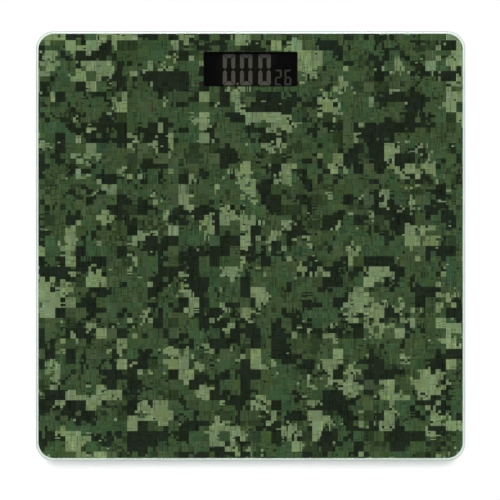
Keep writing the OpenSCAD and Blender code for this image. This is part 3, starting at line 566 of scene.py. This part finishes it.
def foamTape():
    material, tree = newMaterial("foamTape")
    place = objectPlace(tree)
    foam = put(tree, "ShaderNodeTexVoronoi", {"Vector": place, "Scale": 1 / 0.22}, feature="F1")
    bubbles = foam.outputs["Distance"]
    patch = noise(tree, place, 2.0, 3.0, 0.6)
    colour = blendPaint(tree, spread(tree, bubbles, 0.1, 0.7), (14, 14, 14), (34, 34, 34))
    shaded(tree, colour, uneven(tree, patch, 0.80, 0.95), (bubbles, 0.08 * mm))
    return material


def zincSteel():
    material, tree = newMaterial("zincSteel")
    place = objectPlace(tree)
    turned = noise(tree, place, 0.25, 3.0, 0.6)
    stain = noise(tree, place, 1.4, 3.0, 0.6)
    colour = blendPaint(tree, spread(tree, stain, 0.35, 0.7), (205, 206, 210), (176, 178, 178))
    shaded(tree, colour, uneven(tree, turned, 0.22, 0.42), (turned, 0.01 * mm), Metallic=1.0)
    return material


def nickelSteel():
    material, tree = newMaterial("nickelSteel")
    place = objectPlace(tree)
    drawn = noise(tree, objectPlace(tree, (0.08, 1, 1)), 0.2, 2.0, 0.5)
    patina = noise(tree, place, 2.2, 3.0, 0.6)
    colour = blendPaint(tree, spread(tree, patina, 0.4, 0.75), (214, 212, 204), (186, 178, 162))
    shaded(tree, colour, uneven(tree, drawn, 0.14, 0.30), (drawn, 0.006 * mm), Metallic=1.0)
    return material


sleeve = {"black": (24, 24, 26), "copper": (190, 128, 62), "band": (216, 216, 212), "metal": (196, 196, 194),
          "shoulder": 13, "bare": 1.6, "bandAt": 15.0, "bandHalf": 0.6}  # lengths from the cell's ends


def cellSleeve():
    # A copper-coloured shoulder at the nub and a black body, with bare metal at both ends
    material, tree = newMaterial("cellSleeve")
    place = objectPlace(tree)
    across, deep, _ = splitPlace(tree, place)
    frontLow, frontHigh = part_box("battery_front")
    rearLow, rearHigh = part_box("battery_rear")
    frontSide = calc(tree, "LESS_THAN", deep, (frontHigh.y + rearLow.y) / 2 * perMetre)
    rearMiddle, frontMiddle = ((low.x + high.x) / 2 * perMetre
                               for low, high in ((rearLow, rearHigh), (frontLow, frontHigh)))
    middle = spread(tree, frontSide, 0, 1, rearMiddle, frontMiddle)
    towardsNub = spread(tree, frontSide, 0, 1, -1, 1)
    along = calc(tree, "MULTIPLY", calc(tree, "SUBTRACT", across, middle), towardsNub)
    half = (frontHigh.x - frontLow.x) / 2 * perMetre
    shoulder = calc(tree, "GREATER_THAN", along, half - sleeve["shoulder"])
    bare = calc(tree, "GREATER_THAN", calc(tree, "ABSOLUTE", along), half - sleeve["bare"])
    band = calc(tree, "COMPARE", along, half - sleeve["bandAt"], sleeve["bandHalf"])
    rub = noise(tree, place, 1.2, 4.0, 0.65)
    colour = blendPaint(tree, shoulder, sleeve["black"], sleeve["copper"])
    colour = blendColour(tree, band, colour, paintColour(*sleeve["band"]))
    colour = blendColour(tree, bare, colour, paintColour(*sleeve["metal"]))
    shader = shaded(tree, colour, uneven(tree, rub, 0.22, 0.36), (rub, 0.008 * mm))
    tree.links.new(calc(tree, "MAXIMUM", bare, shoulder), shader.inputs["Metallic"])
    return material


wires = {"wireRed": (176, 34, 28), "wireWhite": (226, 226, 220), "wireBlack": (24, 24, 25)}


def wireSleeve(name):
    material, tree = newMaterial(name)
    place = objectPlace(tree)
    waves = noise(tree, place, 2.4, 3.0, 0.6)
    skin = noise(tree, place, 0.2, 2.0, 0.6)
    base = wires[name]
    deeper = [0.88 * c for c in base]
    colour = blendPaint(tree, spread(tree, waves, 0.35, 0.7), base, deeper)
    shaded(tree, colour, uneven(tree, waves, 0.38, 0.52), (skin, 0.01 * mm))
    return material


def boardLaminate():
    # Solder mask with copper runs showing through as a paler green, and tinned dots
    material, tree = newMaterial("boardLaminate")
    place = objectPlace(tree)
    runs = put(tree, "ShaderNodeTexBrick", {"Vector": place, "Scale": 0.16, "Mortar Size": 0.035,
                                            "Mortar Smooth": 0.1, "Brick Width": 0.9, "Row Height": 0.28})
    weave = noise(tree, place, 0.5, 2.0, 0.5)
    dotRows = {"Vector": place, "Scale": 1 / 3.4, "Randomness": 0.35}
    dots = put(tree, "ShaderNodeTexVoronoi", dotRows, feature="F1")
    tinned = calc(tree, "LESS_THAN", dots.outputs["Distance"], 0.10)
    colour = blendPaint(tree, runs.outputs["Fac"], (18, 84, 48), (34, 118, 66))
    colour = blendColour(tree, uneven(tree, weave, 0, 0.25), colour, paintColour(12, 62, 36))
    colour = blendColour(tree, tinned, colour, paintColour(190, 190, 184))
    shaded(tree, colour, uneven(tree, weave, 0.26, 0.40), (runs.outputs["Fac"], 0.03 * mm))
    return material


small = {
    "epoxyBlack": {
        "colours": ((18, 18, 19), (34, 34, 35)), "size": 0.7,
        "roughness": (0.30, 0.55), "metal": 0.0, "bump": 0.03 * mm,
    },
    "crystalCan": {
        "colours": ((208, 208, 212), (180, 180, 184)), "size": 0.9,
        "roughness": (0.16, 0.32), "metal": 1.0, "bump": 0.01 * mm,
    },
    "capacitorSleeve": {
        "colours": ((30, 32, 52), (46, 48, 66)), "size": 1.6,
        "roughness": (0.22, 0.34), "metal": 0.0, "bump": 0.02 * mm,
    },
    "capacitorCeramic": {
        "colours": ((172, 138, 98), (150, 118, 82)), "size": 0.5,
        "roughness": (0.45, 0.65), "metal": 0.0, "bump": 0.03 * mm,
    },
    "solderTin": {
        "colours": ((202, 204, 208), (170, 172, 176)), "size": 0.4,
        "roughness": (0.20, 0.42), "metal": 1.0, "bump": 0.04 * mm,
    },
    "plungerWhite": {
        "colours": ((212, 212, 206), (194, 194, 188)), "size": 0.8,
        "roughness": (0.38, 0.52), "metal": 0.0, "bump": 0.01 * mm,
    },
    "ledAmber": {
        "colours": ((238, 228, 186), (222, 206, 150)), "size": 0.6,
        "roughness": (0.18, 0.30), "metal": 0.0, "bump": 0.01 * mm,
    },
}


def smallFinish(name):
    choice = small[name]
    material, tree = newMaterial(name)
    cloud = noise(tree, objectPlace(tree), choice["size"], 4.0, 0.65)
    colour = blendPaint(tree, spread(tree, cloud, 0.35, 0.68), *choice["colours"])
    roughness = uneven(tree, cloud, *choice["roughness"])
    shaded(tree, colour, roughness, (cloud, choice["bump"]), Metallic=choice["metal"])
    return material


def lightGuide():
    # Rows of frosted dots that throw the light upwards
    material, tree = newMaterial("lightGuide")
    dotRows = {"Vector": objectPlace(tree, (1, 1, 0)), "Scale": 1 / 1.4, "Randomness": 0.0}
    dots = put(tree, "ShaderNodeTexVoronoi", dotRows, feature="F1").outputs["Distance"]
    frosted = calc(tree, "LESS_THAN", dots, 0.26)
    colour = blendPaint(tree, frosted, (224, 230, 232), (246, 248, 248))
    shaded(tree, colour, spread(tree, frosted, 0, 1, 0.12, 0.5), (dots, 0.02 * mm))
    return material


def zebraRubber():
    material, tree = newMaterial("zebraRubber")
    place = objectPlace(tree)
    across = splitPlace(tree, place)[0]
    stripe = calc(tree, "GREATER_THAN", calc(tree, "FRACT", calc(tree, "MULTIPLY", across, 2.5)), 0.5)
    grain = noise(tree, place, 0.4, 3.0, 0.6)
    colour = blendPaint(tree, stripe, (214, 186, 178), (52, 48, 48))
    shaded(tree, colour, uneven(tree, grain, 0.45, 0.65), (grain, 0.02 * mm))
    return material


def dressInside():
    dress(lacquerWhite(), "backing_coat")
    dress(foamTape(), "housing_tape", "duct_tapes", "foot_tapes")
    dress(zincSteel(), "cover_screws", "board_screws")
    dress(nickelSteel(), "battery_plates", "battery_springs")
    dress(cellSleeve(), "battery_front", "battery_rear")
    dress(wireSleeve("wireRed"), "battery_leads", "wires_red")
    dress(wireSleeve("wireWhite"), "wires_white")
    dress(wireSleeve("wireBlack"), "wires_black")
    dress(displayGlass(), "lcd_front_glass")
    dress(segmentCrystal(), "lcd_segments")
    dress(darkCell(), "lcd_rear_glass")
    dress(lightGuide(), "backlight_panel", "reflector_film")
    dress(zebraRubber(), "zebra_strips")
    dress(boardLaminate(), "circuit_board")
    dress(smallFinish("epoxyBlack"), "chip_blob", "smd_resistors", "temperature_sensor", "unit_switch")
    dress(smallFinish("crystalCan"), "quartz_crystal")
    dress(smallFinish("capacitorSleeve"), "electrolytic_capacitors")
    dress(smallFinish("capacitorCeramic"), "smd_capacitors")
    dress(smallFinish("solderTin"), "solder_joints")
    dress(smallFinish("plungerWhite"), "unit_switch_plunger")
    dress(smallFinish("ledAmber"), "backlight_led")
    print("inner parts dressed")


studio = {
    "floorSize": 12.0, "floorColour": 0.88, "floorGlow": 0.10,
    "horizon": (0.14, 1.05), "middle": (0.34, 0.40), "zenith": (0.80, 0.015),  # place on the sky, strength
    # name: elevation and azimuth in degrees (0 is over the rear edge), strength, softness in degrees
    "suns": {"rearKey": (63, 0, 1.85, 20), "topFill": (86, 0, 0.85, 40), "leftFill": (60, 90, 0.15, 30),
             "rightFill": (60, -90, 0.15, 30)},
}


def buildStudio():
    bm = bmesh.new()
    bmesh.ops.create_grid(bm, x_segments=1, y_segments=1, size=studio["floorSize"] / 2)
    mesh = bpy.data.meshes.new("studioFloor")
    bm.to_mesh(mesh)
    bm.free()
    floor = bpy.data.objects.new("studioFloor", mesh)
    bpy.context.scene.collection.objects.link(floor)
    material, tree = newMaterial("floorPaper")
    paper = put(tree, "ShaderNodeBsdfDiffuse", {"Color": (*[studio["floorColour"]] * 3, 1)})
    glow = put(tree, "ShaderNodeEmission", {"Color": (1, 1, 1, 1), "Strength": studio["floorGlow"]})
    both = put(tree, "ShaderNodeAddShader", {0: paper.outputs[0], 1: glow.outputs[0]})
    put(tree, "ShaderNodeOutputMaterial", {"Surface": both.outputs[0]})
    mesh.materials.append(material)

    for name, (elevation, azimuth, strength, softness) in studio["suns"].items():
        lamp = bpy.data.lights.new(name, "SUN")
        lamp.energy = strength
        lamp.angle = math.radians(softness)
        sun = bpy.data.objects.new(name, lamp)
        bpy.context.scene.collection.objects.link(sun)
        e, a = math.radians(elevation), math.radians(azimuth)
        towards = Vector((-math.sin(a) * math.cos(e), math.cos(a) * math.cos(e), math.sin(e)))
        sun.rotation_euler = towards.to_track_quat("Z", "Y").to_euler()
        sun.visible_glossy = sun.visible_transmission = name == "rearKey"

    world = bpy.data.worlds.new("studioWorld")
    bpy.context.scene.world = world
    world.use_nodes = True
    tree = world.node_tree
    tree.nodes.clear()
    up = splitPlace(tree, put(tree, "ShaderNodeTexCoord").outputs["Generated"])[2]
    ramp = put(tree, "ShaderNodeValToRGB", {0: up})
    stops = ramp.color_ramp.elements
    for stop, name in ((stops[0], "horizon"), (stops[1], "zenith")):
        stop.position, strength = studio[name]
        stop.color = (*[strength] * 3, 1)
    place, strength = studio["middle"]
    stops.new(place).color = (*[strength] * 3, 1)
    sky = put(tree, "ShaderNodeBackground", {"Color": ramp.outputs[0], "Strength": 1.0})
    put(tree, "ShaderNodeOutputWorld", {"Surface": sky.outputs[0]})


shot = {"at": (-0.0004, -0.0029), "above": 0.969, "lens": 100, "sensor": 36, "clip": (0.01, 50)}


def aimCamera():
    lens = bpy.data.cameras.new("topCamera")
    lens.lens = shot["lens"]
    lens.sensor_width = shot["sensor"]
    lens.clip_start, lens.clip_end = shot["clip"]
    camera = bpy.data.objects.new("topCamera", lens)
    bpy.context.scene.collection.objects.link(camera)
    camera.location = (*shot["at"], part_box("glass_plate")[1].z + shot["above"])
    bpy.context.scene.camera = camera
    bpy.context.scene.view_settings.view_transform = "Standard"


buildPlate()
buildPrint()
print("platform built")
buildHousing()
buildFeet()
dressInside()
buildStudio()
aimCamera()
print("scene ready")
